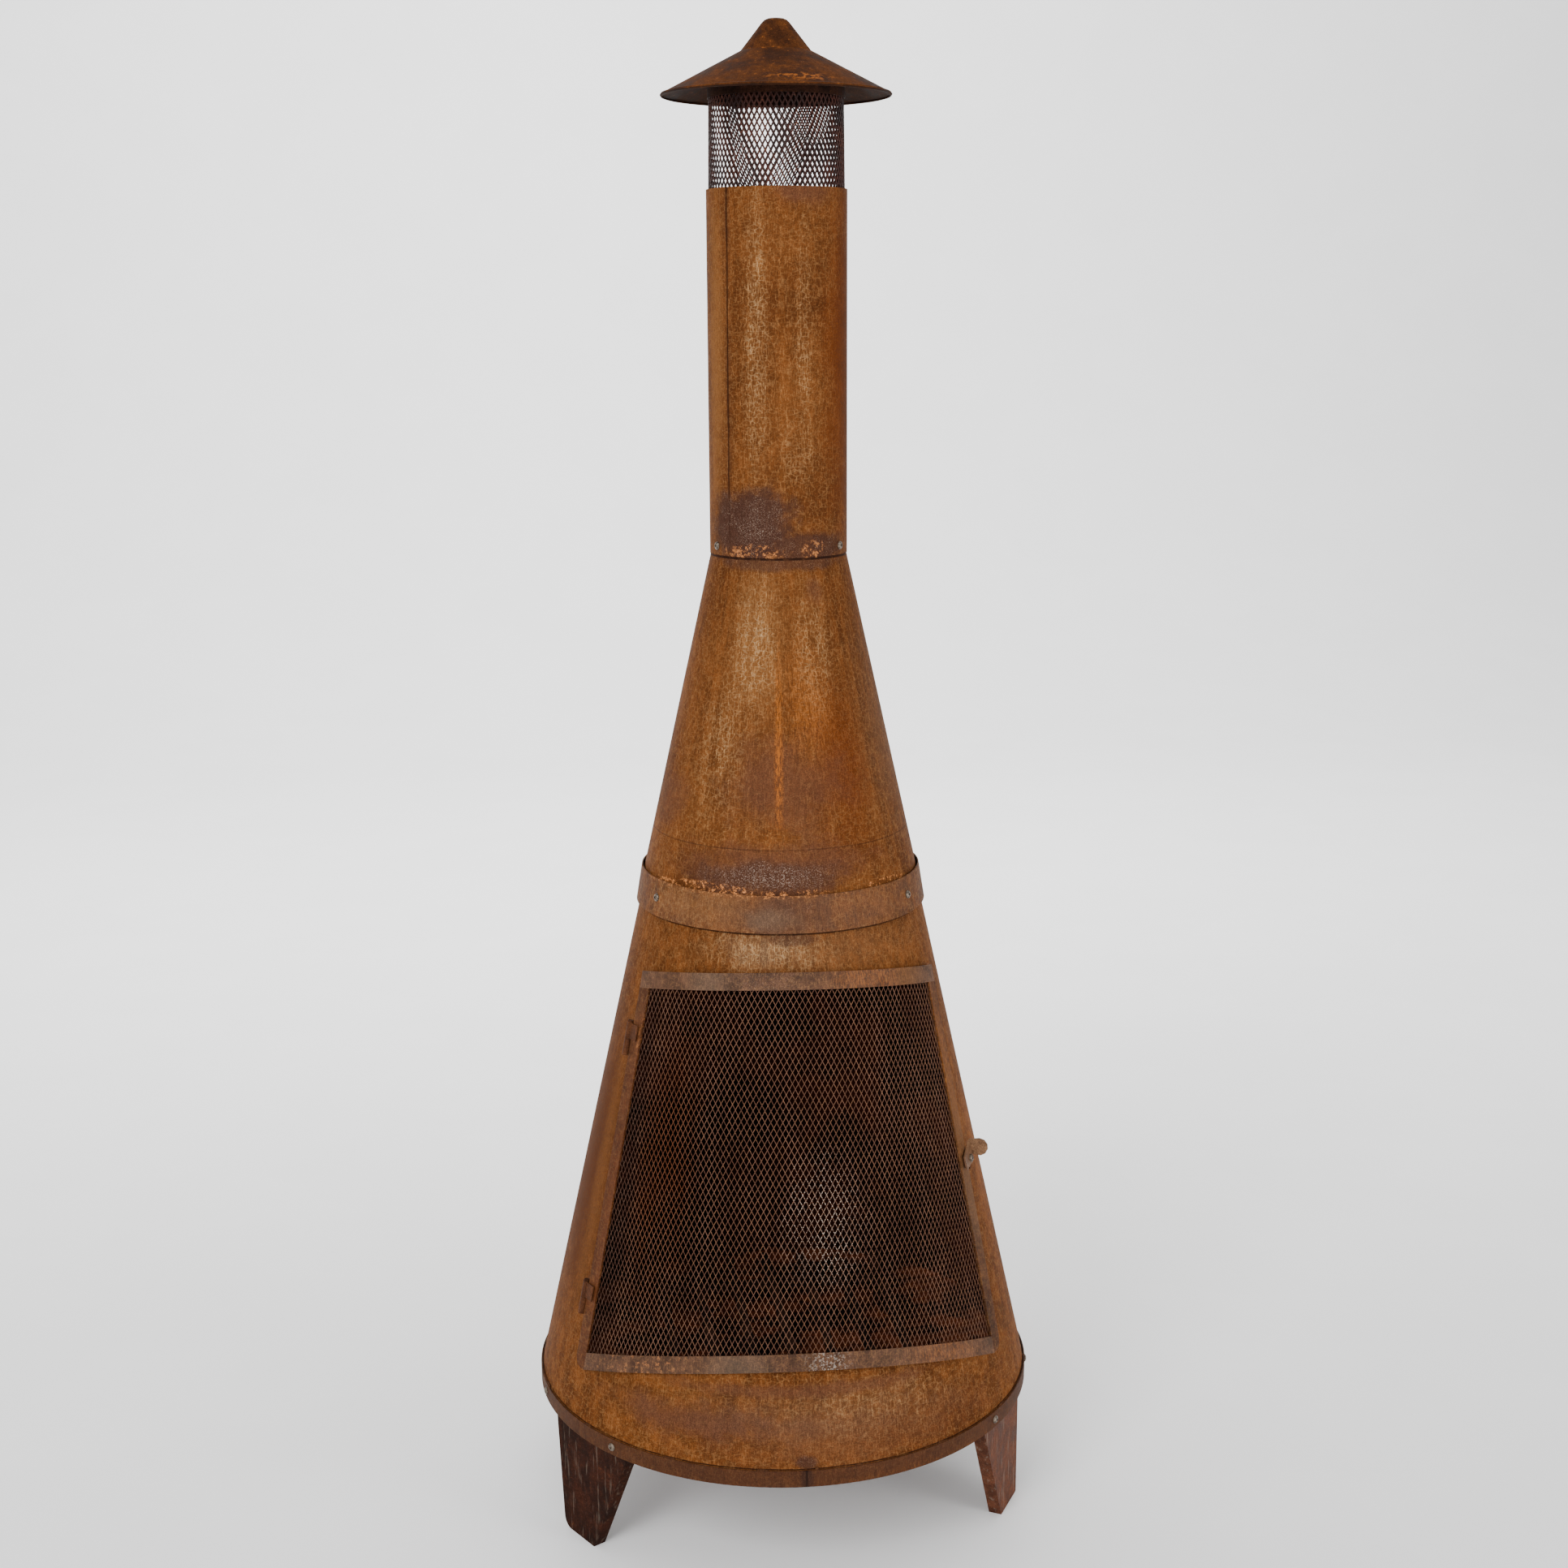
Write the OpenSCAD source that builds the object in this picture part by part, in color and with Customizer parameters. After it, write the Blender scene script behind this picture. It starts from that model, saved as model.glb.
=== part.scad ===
// Wood-burning steel chiminea: a two-piece cone on a hoop and three folded legs, with a
// round flue, a spark mesh under a spun rain cap, and a hinged mesh door with a lift latch.
// Origin on the ground under the flue's axis, +Z up, the door faces -Y.
// Angles round the body are counted from -Y towards +X.

/* [Base] */
// Height of the base ring's lower edge above the ground
leg_h = 148; // [130:1:170]
// Outer radius of the base ring
ring_r = 306.5; // [300:0.5:312]
// Height of the base ring
ring_h = 20; // [16:1:24]
// Angle between the front centre line and each front leg
leg_angle = 64; // [60:1:66]
// Angle by which each leg's plate is turned from its place on the ring
leg_turn = 4.8; // [3:0.2:6]
// Width of a leg at its foot
foot_w = 60; // [54:1:64]
// Depth of the folded sides of a leg
leg_flange = 16; // [12:1:20]

/* [Body] */
// Height of the lower cone from the base ring to the band
lower_h = 597; // [590:1:605]
// Radius that the lower cone loses for each millimetre of height
lower_slope = 0.2238; // [0.222:0.0002:0.225]
// Height of the band round the joint of the cones
band_h = 42.5; // [38:0.5:46]
// Height of the upper cone above the band
upper_h = 374.5; // [365:0.5:385]
// Thickness of the sheet steel
sheet = 1.2; // [1:0.1:1.4]

/* [Flue and cap] */
// Outer radius of the flue pipe
pipe_r = 80.5; // [79.5:0.5:82]
// Length of the flue pipe
pipe_h = 411; // [380:1:440]
// Height of spark mesh that shows between the pipe and the cap's rim
mesh_gap = 101; // [85:1:115]
// Radius of the rain cap
cap_r = 131; // [120:1:140]
// Height of the rain cap
cap_h = 84; // [80:1:88]

/* [Door] */
// Width of the flat strips of the door frame
strip_w = 19.5; // [18:0.5:21]
// Thickness of the strips
strip_t = 2; // [1.6:0.1:2.2]
// Gap between the body and the back of the strips
door_gap = 4.2; // [4:0.1:4.4]
// Angle by which the door sags towards its latch
door_sag = 1.2; // [0:0.1:1.5]
// Angle of the left edge of the mesh at the top of the door
left_top_phi = -60.3; // [-60.5:0.1:-59]
// Angle of the left edge of the mesh at the bottom of the door
left_low_phi = -60.8; // [-60.9:0.1:-60]
// Angle of the right edge of the mesh at the top of the door
right_top_phi = 56.5; // [56:0.1:57]
// Angle of the right edge of the mesh at the bottom of the door
right_low_phi = 52.1; // [51.5:0.1:52.5]

/* [Hidden] */
$fn = 128;

rust = [0.52, 0.30, 0.13];
dark_rust = [0.36, 0.21, 0.14];
leg_brown = [0.24, 0.15, 0.12];
mesh_brown = [0.28, 0.17, 0.12];
screw_grey = [0.42, 0.38, 0.34];

// Heights of the main joints
ring_top = leg_h + ring_h;
band_z = ring_top + lower_h;
band_top = band_z + band_h;
neck_z = band_top + upper_h;
pipe_top = neck_z + pipe_h;
rim_z = pipe_top + mesh_gap;
cap_top = rim_z + cap_h;

// Base
ring_t = 1.5;
slit = 1.4;
cone_foot_z = ring_top - 1.5;
cone_foot_r = ring_r - ring_t - slit;
pan_t = 1.5;
pan_z = cone_foot_z - pan_t;
leg_t = 2;
leg_top = pan_z - 0.2;
leg_half = 76.5;
leg_plane = sqrt(pow(ring_r - ring_t - 0.7, 2) - pow(leg_half, 2));
foot_front = -2.5;
leg_tab_t = 1.6;
leg_tab_r = ring_r - ring_t - 0.1;
leg_tab_from = -104;
leg_tab_to = 98;
pocket_r = 5.2;
leg_screw_step = 15.5;
leg_screw_z = leg_h + ring_h / 2;

// Outer radius of the lower cone at a height
function lower_r(z) = cone_foot_r - lower_slope * (z - ring_top);
cone_lean = atan(lower_slope);
lower_top = band_top + 47;

// The upper cone overlaps the outside of the lower one under the band
upper_foot = band_z + 5;
upper_foot_r = lower_r(upper_foot) + 3.1;
neck_r = pipe_r - 0.9;
spigot_h = 34;
spigot_r = pipe_r - sheet - 0.2;

// Band
band_t = 1.5;
band_slope = 0.165;
band_low_r = upper_foot_r + band_slope * 5 + band_t + 0.25;
band_screw_z = band_z + band_h / 2;
band_lean = atan(band_slope);
function band_r(z) = band_low_r - band_slope * (z - band_z);

// Screws with domed heads, and their nuts
shank_r = 2.5;
hole_r = 2.6;
head_r = 4.75;
head_h = 2.8;
socket_r = 1.7;
nut_r = 4.6;
nut_h = 4;
flue_screw_z = neck_z + 11;

// Spark mesh and cap
mesh_t = 0.8;
mesh_low_r = pipe_r - 2.2;
mesh_top_r = mesh_low_r - 2;
mesh_foot = pipe_top - 48;
mesh_top = rim_z + 16;
foot_ring_h = 30;
collar_t = 1;
knee_r = 40;
knee_z = rim_z + 49;
crown_r = 14;
lip = 4.5;
lug_h = 4;

// Door: heights of its edges at the front centre line, and how far they tilt
door_top_z = ring_top + 554;
door_low_z = ring_top + 111.5;
top_tilt = 0.246;
low_tilt = 0.404;
strip_rise = strip_w / cos(cone_lean) - 0.5;
corner_r = 14;
side_top_z = ring_top + 511;
side_low_z = ring_top + 82;
opening_inset = 13;
strip_out = door_gap + strip_t;

// Hinge line, from its lower to its upper point
hinge_proud = 6.5;
hinge_low_z = ring_top + 140;
hinge_up_z = ring_top + 450;
function on_hinge(phi, z) = [
    (lower_r(z) + hinge_proud) * sin(phi),
    -(lower_r(z) + hinge_proud) * cos(phi),
    z];
hinge_low = on_hinge(-65.8, hinge_low_z);
hinge_up = on_hinge(-67.4, hinge_up_z);
hinge_dir = hinge_up - hinge_low;
hinge_tilt = acos(hinge_dir.z / norm(hinge_dir));
hinge_turn = atan2(hinge_dir.y, hinge_dir.x);
hinge_spin = -95.6;
knuckle_r = 4.2;
knuckle_h = 20;
pin_r = 2.4;
pin_bore_r = 2.45;
leaf_w = 15;
leaf_t = 1.5;
leaf_h = 18;

// Latch, placed about its pivot on the body's surface
latch_phi = 58.9;
latch_z = ring_top + 292;
latch_r = lower_r(latch_z);
ear_n = door_gap + strip_t - 0.05;
ear_t = 1.5;
lever_n = ear_n + ear_t + 0.3;
lever_t = 2;
tongue_x = 8;
nut_notch_r = 4.4;

// Grate
grate_rail_gap = 250;
grate_bar = 10;
grate_step = 48;
grate_z = cone_foot_z + 34;

// Puts its children on a wall of the body: local z points outwards, local y up the wall
module at_wall(phi, r, z, lean) {
    rotate([0, 0, phi])
        translate([0, -r, z])
            rotate([90 - lean, 0, 0])
                children();
}

// Puts its children on the hinge line: local z up the pin, x towards the door, y inwards
module at_hinge(point) {
    translate(point)
        rotate([0, hinge_tilt, hinge_turn])
            rotate([0, 0, hinge_spin])
                children();
}

// Conical sheet between two heights, from its outer radii and its thickness
module cone_sheet(z_low, r_low, z_high, r_high, t) {
    rotate_extrude()
        polygon([
            [r_low - t, z_low],
            [r_low, z_low],
            [r_high, z_high],
            [r_high - t, z_high]]);
}

// Straight ring between two heights
module hoop(z_low, z_high, r_in, r_out) {
    translate([0, 0, z_low])
        difference() {
            cylinder(h = z_high - z_low, r = r_out);
            translate([0, 0, -1])
                cylinder(h = z_high - z_low + 2, r = r_in);
        }
}

// Domed screw whose head sits at local z = 0, with its shank pointing inwards
module dome_screw(length) {
    difference() {
        union() {
            rotate_extrude()
                polygon([
                    [0, 0],
                    [head_r, 0],
                    [head_r, 0.7],
                    [head_r * 0.86, 1.7],
                    [head_r * 0.6, 2.5],
                    [head_r * 0.34, head_h],
                    [0, head_h]]);
            translate([0, 0, -length])
                cylinder(h = length + 0.5, r = shank_r);
        }
        translate([0, 0, head_h - 1.4])
            cylinder(h = 2, r = socket_r, $fn = 6);
    }
}

// Hexagonal nut whose outer face is at local z = 0
module hex_nut() {
    translate([0, 0, -nut_h])
        difference() {
            cylinder(h = nut_h, r = nut_r, $fn = 6);
            translate([0, 0, -1])
                cylinder(h = nut_h + 2, r = shank_r + 0.05);
        }
}

// Clearance hole for a screw, through everything near its place
module screw_hole() {
    translate([0, 0, -14])
        cylinder(h = 20, r = hole_r);
}

// Places of the screws. Local z = 0 is on the outer wall, and depth shifts things inwards
module at_flue_screws(depth) {
    for (phi = [-69, 54, 174])
        at_wall(phi, pipe_r, flue_screw_z, 0)
            translate([0, 0, -depth])
                children();
}

module at_band_screws(depth) {
    for (phi = [-65.5, 53.5, 174])
        at_wall(phi, band_r(band_screw_z) + 0.15, band_screw_z, band_lean)
            translate([0, 0, -depth])
                children();
}

module at_leg_screws(depth) {
    for (leg = [-leg_angle, leg_angle, 180])
        for (side = [-1, 1])
            at_wall(leg + side * leg_screw_step, ring_r, leg_screw_z, 0)
                translate([0, 0, -depth])
                    children();
}

// Rain cap, collar and spark mesh

module rain_cap() {
    color(rust)
        rotate_extrude()
            polygon([
                [0, cap_top],
                [crown_r - 5, cap_top - 0.4],
                [crown_r - 1, cap_top - 2],
                [crown_r + 2, cap_top - 5],
                [knee_r, knee_z],
                [cap_r - lip, rim_z + lip],
                [cap_r - 1.2, rim_z + lip - 0.9],
                [cap_r, rim_z + lip - 2.6],
                [cap_r - 1, rim_z + 0.4],
                [cap_r - 2.6, rim_z],
                [cap_r - 2.4, rim_z + 1.2],
                [cap_r - 1.5, rim_z + 1.9],
                [cap_r - lip, rim_z + lip - 1.4],
                [knee_r - 0.6, knee_z - 1.5],
                [crown_r + 0.8, cap_top - 6],
                [crown_r - 2, cap_top - 3],
                [crown_r - 5, cap_top - 1.8],
                [0, cap_top - 1.5]]);
}

module cap_collar() {
    color(dark_rust)
        hoop(rim_z - 2, rim_z + 25, mesh_top_r + 0.4, mesh_top_r + 0.4 + collar_t);
}

module spark_mesh() {
    color(mesh_brown)
        cone_sheet(mesh_foot, mesh_low_r, mesh_top, mesh_top_r, mesh_t);
}

module mesh_foot_ring() {
    color(dark_rust)
        hoop(mesh_foot, mesh_foot + foot_ring_h, mesh_low_r + 0.05, pipe_r - sheet - 0.35);
}

module cap_rest_lugs() {
    color(dark_rust)
        for (phi = [0, 120, 240])
            rotate([0, 0, phi])
                intersection() {
                    hoop(mesh_foot - lug_h - 0.3, mesh_foot - 0.3, pipe_r - 7, pipe_r - sheet);
                    translate([-5, -pipe_r, mesh_foot - 10])
                        cube([10, 12, 12]);
                }
}

// Flue and upper cone

module flue_pipe() {
    color(rust)
        difference() {
            hoop(neck_z, pipe_top, pipe_r - sheet, pipe_r);
            at_flue_screws(0)
                screw_hole();
        }
}

module flue_screws() {
    color(screw_grey)
        at_flue_screws(0)
            dome_screw(9);
}

module flue_nuts() {
    color(screw_grey)
        at_flue_screws(pipe_r - spigot_r + sheet + 0.2)
            hex_nut();
}

module upper_cone() {
    color(rust)
        difference() {
            rotate_extrude()
                polygon([
                    [upper_foot_r - sheet, upper_foot],
                    [upper_foot_r, upper_foot],
                    [neck_r, neck_z - 0.2],
                    [spigot_r, neck_z - 0.2],
                    [spigot_r, neck_z + spigot_h],
                    [spigot_r - sheet, neck_z + spigot_h],
                    [spigot_r - sheet, neck_z - 2]]);
            at_flue_screws(0)
                screw_hole();
            at_band_screws(0)
                screw_hole();
        }
}

module mid_band() {
    color(rust)
        difference() {
            cone_sheet(band_z, band_low_r, band_top, band_r(band_top), band_t);
            at_band_screws(0)
                screw_hole();
        }
}

module band_screws() {
    color(screw_grey)
        at_band_screws(0)
            dome_screw(14);
}

module band_nuts() {
    color(screw_grey)
        at_band_screws(band_r(band_screw_z) - lower_r(band_screw_z) + sheet + 0.4)
            hex_nut();
}

// Lower cone with the door opening

// Offset of a door edge from its middle radial line, at a height on the wall
function edge_x(phi_top, phi_low, z) =
    let (
        half = (phi_top - phi_low) / 2,
        x_top = lower_r(side_top_z) * sin(half),
        x_low = -lower_r(side_low_z) * sin(half))
    x_low + (x_top - x_low) * (z - side_low_z) / (side_top_z - side_low_z);

// Prism along a door edge's radial line, between two offsets from the edge of the mesh
module side_prism(phi_top, phi_low, from, to, behind) {
    z_a = ring_top - 100;
    z_b = band_top + 100;
    rotate([0, 0, (phi_top + phi_low) / 2])
        rotate([90, 0, 0])
            translate([0, 0, -behind])
                linear_extrude(height = 700 + behind)
                    polygon([
                        [edge_x(phi_top, phi_low, z_a) + from, z_a],
                        [edge_x(phi_top, phi_low, z_b) + from, z_b],
                        [edge_x(phi_top, phi_low, z_b) + to, z_b],
                        [edge_x(phi_top, phi_low, z_a) + to, z_a]]);
}

// Slab of the front half between two tilted planes, given at the front of the wall
module height_space(z_low, z_high) {
    y_low = -lower_r(z_low) - 5;
    y_high = -lower_r(z_high) - 5;
    z_mid = (door_low_z + door_top_z) / 2;
    translate([0, 0, z_mid])
        rotate([0, door_sag, 0])
            rotate([90, 0, 90])
                translate([0, -z_mid, -400])
                    linear_extrude(height = 800)
                        polygon([
                            [-400, z_low - low_tilt * (-400 - y_low)],
                            [0, z_low - low_tilt * (0 - y_low)],
                            [0, z_high - top_tilt * (0 - y_high)],
                            [-400, z_high - top_tilt * (-400 - y_high)]]);
}

// Wedge between the side edges of the door's mesh, made wider by grow on both sides
module door_sector(grow) {
    intersection() {
        side_prism(left_top_phi, left_low_phi, -grow, 700, 700);
        side_prism(right_top_phi, right_low_phi, -700, grow, 700);
    }
}

// Wedge of the door's outline, let in from the frame's outer edge by inset
module door_space(inset) {
    grow = strip_w - inset;
    intersection() {
        door_sector(grow);
        height_space(
            door_low_z + inset * strip_rise / strip_w,
            door_top_z - inset * strip_rise / strip_w);
    }
}

// Skin that follows the lower cone between two offsets from its surface
module door_skin(from, to) {
    z_a = ring_top - 20;
    z_b = band_z + 10;
    rotate_extrude()
        polygon([
            [lower_r(z_a) + from, z_a],
            [lower_r(z_a) + to, z_a],
            [lower_r(z_b) + to, z_b],
            [lower_r(z_b) + from, z_b]]);
}

module lower_cone() {
    color(rust)
        difference() {
            cone_sheet(cone_foot_z, lower_r(cone_foot_z), lower_top, lower_r(lower_top), sheet);
            door_space(opening_inset);
            at_band_screws(0)
                screw_hole();
        }
}

// Base ring, pan, grate and legs

module base_ring() {
    color(rust)
        difference() {
            hoop(leg_h, ring_top, ring_r - ring_t, ring_r);
            at_leg_screws(0)
                screw_hole();
        }
}

module fire_pan() {
    color(dark_rust)
        translate([0, 0, pan_z])
            cylinder(h = pan_t, r = ring_r - ring_t - 0.1);
}

module log_grate_bars() {
    color(leg_brown)
        for (i = [-3:3])
            translate([i * grate_step - grate_bar / 2, -(190 - 8 * abs(i)), grate_z])
                cube([grate_bar, 2 * (190 - 8 * abs(i)), grate_bar]);
}

module log_grate_rails() {
    color(leg_brown)
        for (side = [-1, 1])
            translate([0, side * grate_rail_gap / 2, 0]) {
                translate([-160, -grate_bar / 2, grate_z - grate_bar])
                    cube([320, grate_bar, grate_bar]);
                for (end = [-150, 140])
                    translate([end, -grate_bar / 2, cone_foot_z])
                        cube([grate_bar, grate_bar, grate_z - cone_foot_z - 5]);
            }
}

// One leg at the front: a flat plate with both sides folded inwards, turned a little from
// the curved tab that follows the inside of the base ring. The plate's front edge slants,
// and its other edge runs from out_low at the foot to out_top at the ring
module leg_shape(out_low, out_top, corner) {
    front_t = leg_t * norm([leg_half + foot_front, leg_h]) / leg_h;
    rotate([0, 0, -leg_turn]) {
        translate([0, -leg_plane + leg_t, 0])
            rotate([90, 0, 0])
                linear_extrude(height = leg_t)
                    polygon([
                        [-leg_half, leg_top - 1],
                        [-leg_half, leg_h],
                        [foot_front, 0],
                        for (a = [270:18:360])
                            [out_low + corner * (cos(a) - 1), corner * (1 + sin(a))],
                        [out_top, leg_h],
                        [leg_half, leg_h + 1],
                        [leg_half, leg_top - 1]]);
        translate([0, -leg_plane + leg_flange, 0])
            rotate([90, 0, 0])
                linear_extrude(height = leg_flange) {
                    polygon([
                        [foot_front, 0],
                        [foot_front + front_t, 0],
                        [-leg_half + front_t, leg_h],
                        [-leg_half, leg_h]]);
                    polygon([
                        [out_low - leg_t, corner],
                        [out_low, corner],
                        [out_top, leg_h],
                        [out_top - leg_t, leg_h]]);
                }
    }
    intersection() {
        hoop(leg_h + 0.3, leg_top, leg_tab_r - leg_tab_t, leg_tab_r);
        translate([leg_tab_from, -ring_r - 1, 0])
            cube([leg_tab_to - leg_tab_from, 100, leg_top + 10]);
    }
}

module leg(phi, hand, out_low, out_top, corner) {
    color(leg_brown)
        difference() {
            rotate([0, 0, phi])
                scale([hand, 1, 1])
                    leg_shape(out_low, out_top, corner);
            at_leg_screws(0)
                screw_hole();
            at_leg_screws(ring_t + leg_tab_t + 9)
                cylinder(h = 8.75, r = pocket_r);
        }
}

module leg_front_left() {
    leg(-leg_angle, -1, foot_front + foot_w + 4, leg_half - 4, 14);
}

module leg_front_right() {
    leg(leg_angle, 1, foot_front + foot_w, foot_front + foot_w + 1, 2);
}

module leg_rear() {
    leg(180, 1, foot_front + foot_w, foot_front + foot_w + 1, 2);
}

module leg_screws() {
    color(screw_grey)
        at_leg_screws(0)
            dome_screw(10);
}

module leg_nuts() {
    color(screw_grey)
        at_leg_screws(ring_t + leg_tab_t + 0.3)
            hex_nut();
}

// Door hinges

// Room for a hinge pin through both of its knuckles
module pin_clearance() {
    translate([0, 0, -knuckle_h - 5])
        cylinder(h = 2 * knuckle_h + 10, r = pin_bore_r);
}

module hinge_body_leaves() {
    color(dark_rust)
        for (point = [hinge_low, hinge_up])
            at_hinge(point)
                difference() {
                    union() {
                        translate([0, 0, -knuckle_h])
                            cylinder(h = knuckle_h - 0.2, r = knuckle_r);
                        translate([-leaf_w, 4.3, -knuckle_h + 1])
                            cube([leaf_w + 1.5, leaf_t, leaf_h]);
                        translate([-2, 3, -knuckle_h + 1])
                            cube([3.5, 2.8, leaf_h]);
                    }
                    pin_clearance();
                }
}

module hinge_door_leaves() {
    color(dark_rust)
        for (point = [hinge_low, hinge_up])
            at_hinge(point)
                difference() {
                    union() {
                        translate([0, 0, 0.2])
                            cylinder(h = knuckle_h - 0.2, r = knuckle_r);
                        translate([0, -leaf_t - 0.15, 1])
                            cube([leaf_w + 5, leaf_t, leaf_h]);
                    }
                    pin_clearance();
                }
}

module hinge_pins() {
    color(screw_grey)
        for (point = [hinge_low, hinge_up])
            at_hinge(point) {
                translate([0, 0, -knuckle_h + 0.5])
                    cylinder(h = 2 * knuckle_h, r = pin_r);
                translate([0, 0, knuckle_h + 0.3])
                    cylinder(h = 1.5, r = knuckle_r - 0.6);
            }
}

// Door frame and mesh

module door_top_strip() {
    color(dark_rust)
        difference() {
            intersection() {
                door_skin(door_gap, strip_out);
                door_space(0);
            }
            height_space(0, door_top_z - strip_rise);
        }
}

module door_bottom_strip() {
    color(dark_rust)
        difference() {
            intersection() {
                door_skin(door_gap, strip_out);
                door_sector(0);
                height_space(door_low_z, door_top_z);
            }
            height_space(door_low_z + strip_rise, band_z + 300);
        }
}

// The side strips run down past the bottom strip to rounded corners
module side_skin() {
    intersection() {
        door_skin(door_gap, strip_out);
        height_space(door_low_z, door_top_z - strip_rise);
    }
}

// Angle of a line beside an edge of the mesh, at a height on the wall
function side_phi(phi_top, phi_low, off, z) =
    (phi_top + phi_low) / 2 + asin((edge_x(phi_top, phi_low, z) + off) / lower_r(z));

// Height of the door's lower edge at an angle, found by repeated steps from a first guess
function low_edge_z(phi, guess, steps) =
    let (
        r = lower_r(guess) + door_gap,
        z_mid = (door_low_z + door_top_z) / 2,
        drop = low_tilt * (lower_r(door_low_z) + 5 - r * cos(phi)),
        z = z_mid + (door_low_z - drop - z_mid - r * sin(phi) * sin(door_sag)) / cos(door_sag))
    steps == 0 ? z : low_edge_z(phi, z, steps - 1);

// Angle and height of a lower corner of the door, and the climb of its bottom edge there
function corner_place(phi_top, phi_low, off, side) =
    let (
        z_near = low_edge_z(phi_low, door_low_z - 50, 4),
        phi = side_phi(phi_top, phi_low, off, z_near),
        z = low_edge_z(phi, z_near, 4),
        z_next = low_edge_z(phi + side, z_near, 4))
    [phi, z, (z_next - z) / cos(cone_lean) / (lower_r(z) * PI / 180)];

corner_left = corner_place(left_top_phi, left_low_phi, -strip_w, 1);
corner_right = corner_place(right_top_phi, right_low_phi, strip_w, -1);

// Cutter that rounds a lower corner of the door. Local x points along the bottom edge,
// which climbs by climb for each millimetre, and side is 1 at the left corner
module corner_cut(phi, z, side, climb) {
    tilt = atan(climb);
    run = corner_r * tan((90 + tilt) / 2);
    at_wall(phi, lower_r(z), z, cone_lean)
        linear_extrude(height = 20, center = true)
            polygon([
                [-side * 9, run],
                for (i = [0:8])
                    let (a = 180 + i * (90 + tilt) / 8)
                        [side * corner_r * (1 + cos(a)), run + corner_r * sin(a)],
                [side * (corner_r * (1 + sin(tilt)) + 9 * sin(tilt)),
                    run - (corner_r + 9) * cos(tilt)],
                [-side * 9, -15]]);
}

module door_left_strip() {
    color(dark_rust)
        difference() {
            intersection() {
                side_skin();
                side_prism(left_top_phi, left_low_phi, -strip_w, 0, 0);
            }
            corner_cut(corner_left[0], corner_left[1], 1, corner_left[2]);
        }
}

module door_right_strip() {
    color(dark_rust)
        difference() {
            intersection() {
                side_skin();
                side_prism(right_top_phi, right_low_phi, 0, strip_w, 0);
            }
            corner_cut(corner_right[0], corner_right[1], -1, corner_right[2]);
            at_latch()
                translate([0, 0, -2])
                    cylinder(h = ear_n + 4, r = nut_notch_r);
        }
}

module door_mesh() {
    color(mesh_brown)
        intersection() {
            door_skin(door_gap - 1, door_gap);
            door_space(strip_w / 2);
        }
}

// Latch

module at_latch() {
    at_wall(latch_phi, latch_r, latch_z, cone_lean)
        children();
}

module latch_plate() {
    color(dark_rust)
        at_latch()
            translate([0, 0, ear_n])
                difference() {
                    union() {
                        cylinder(h = ear_t, r = 6.5);
                        translate([-16, -6.5, 0])
                            cube([16, 13, ear_t]);
                    }
                    translate([0, 0, -1])
                        cylinder(h = ear_t + 2, r = hole_r);
                }
}

// Lever plate over the frame, a tongue behind it and a rounded finger tab bent out of it
module latch_lever() {
    tab = [
        [lever_n, 2.5],
        [lever_n + 12, -0.5],
        [lever_n + 18, 1.5],
        [lever_n + 22, 6.5],
        [lever_n + 22.8, 12.5],
        [lever_n + 20, 18],
        [lever_n + 14, 20.8],
        [lever_n, 20.8]];
    plate = [
        [-17, -9],
        [-8, -7.5],
        [-3, -6.8],
        [2, -6.4],
        [6, -4.6],
        [8.4, -1.5],
        [10, 4],
        [10, 21],
        [6, 20],
        [-17, 7]];
    color(rust)
        at_latch()
            difference() {
                union() {
                    translate([0, 0, lever_n])
                        linear_extrude(height = lever_t)
                            polygon(plate);
                    translate([tongue_x, -3.8, 2.5])
                        cube([2, 11, lever_n - 2]);
                    translate([tongue_x, 0, 0])
                        rotate([0, -90, 0])
                            translate([0, 0, -2])
                                linear_extrude(height = 2)
                                    polygon(tab);
                }
                translate([0, 0, lever_n - 1])
                    cylinder(h = lever_t + 2, r = shank_r + 0.05);
            }
}

module latch_screw() {
    color(screw_grey)
        at_latch()
            translate([0, 0, lever_n + lever_t + 0.1])
                dome_screw(lever_n + lever_t - 1.8);
}

module latch_nut() {
    color(screw_grey)
        at_latch()
            translate([0, 0, ear_n - 0.1])
                difference() {
                    translate([0, 0, -3])
                        cylinder(h = 3, r = 4);
                    translate([0, 0, -4])
                        cylinder(h = 5, r = shank_r + 0.05);
                }
}

module latch_keeper() {
    color(dark_rust)
        at_latch() {
            translate([1.5, -14, 0.15])
                cube([15, 9, 1.5]);
            translate([1.5, -14, 0.15])
                cube([2, 9, 5.7]);
        }
}

rain_cap();
cap_collar();
spark_mesh();
mesh_foot_ring();
cap_rest_lugs();
flue_pipe();
flue_screws();
flue_nuts();
upper_cone();
mid_band();
band_screws();
band_nuts();
lower_cone();
base_ring();
fire_pan();
log_grate_bars();
log_grate_rails();
leg_front_left();
leg_front_right();
leg_rear();
leg_screws();
leg_nuts();
hinge_body_leaves();
hinge_door_leaves();
hinge_pins();
door_top_strip();
door_bottom_strip();
door_left_strip();
door_right_strip();
door_mesh();
latch_plate();
latch_lever();
latch_screw();
latch_nut();
latch_keeper();
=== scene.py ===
"""Looks of a rust-finished steel chiminea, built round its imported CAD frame.

The CAD nodes keep their shape and get weathered-steel materials. The two mesh nodes are
replaced by real expanded metal, and the weld beads at the base ring and the lapped edge of
the flue's seam are added as pieces.
Lengths are metres. Angles round the body are counted from the front, -Y, towards +X.
"""

import math
import random

import bpy
from mathutils import Euler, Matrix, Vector
from mathutils.bvhtree import BVHTree


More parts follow.
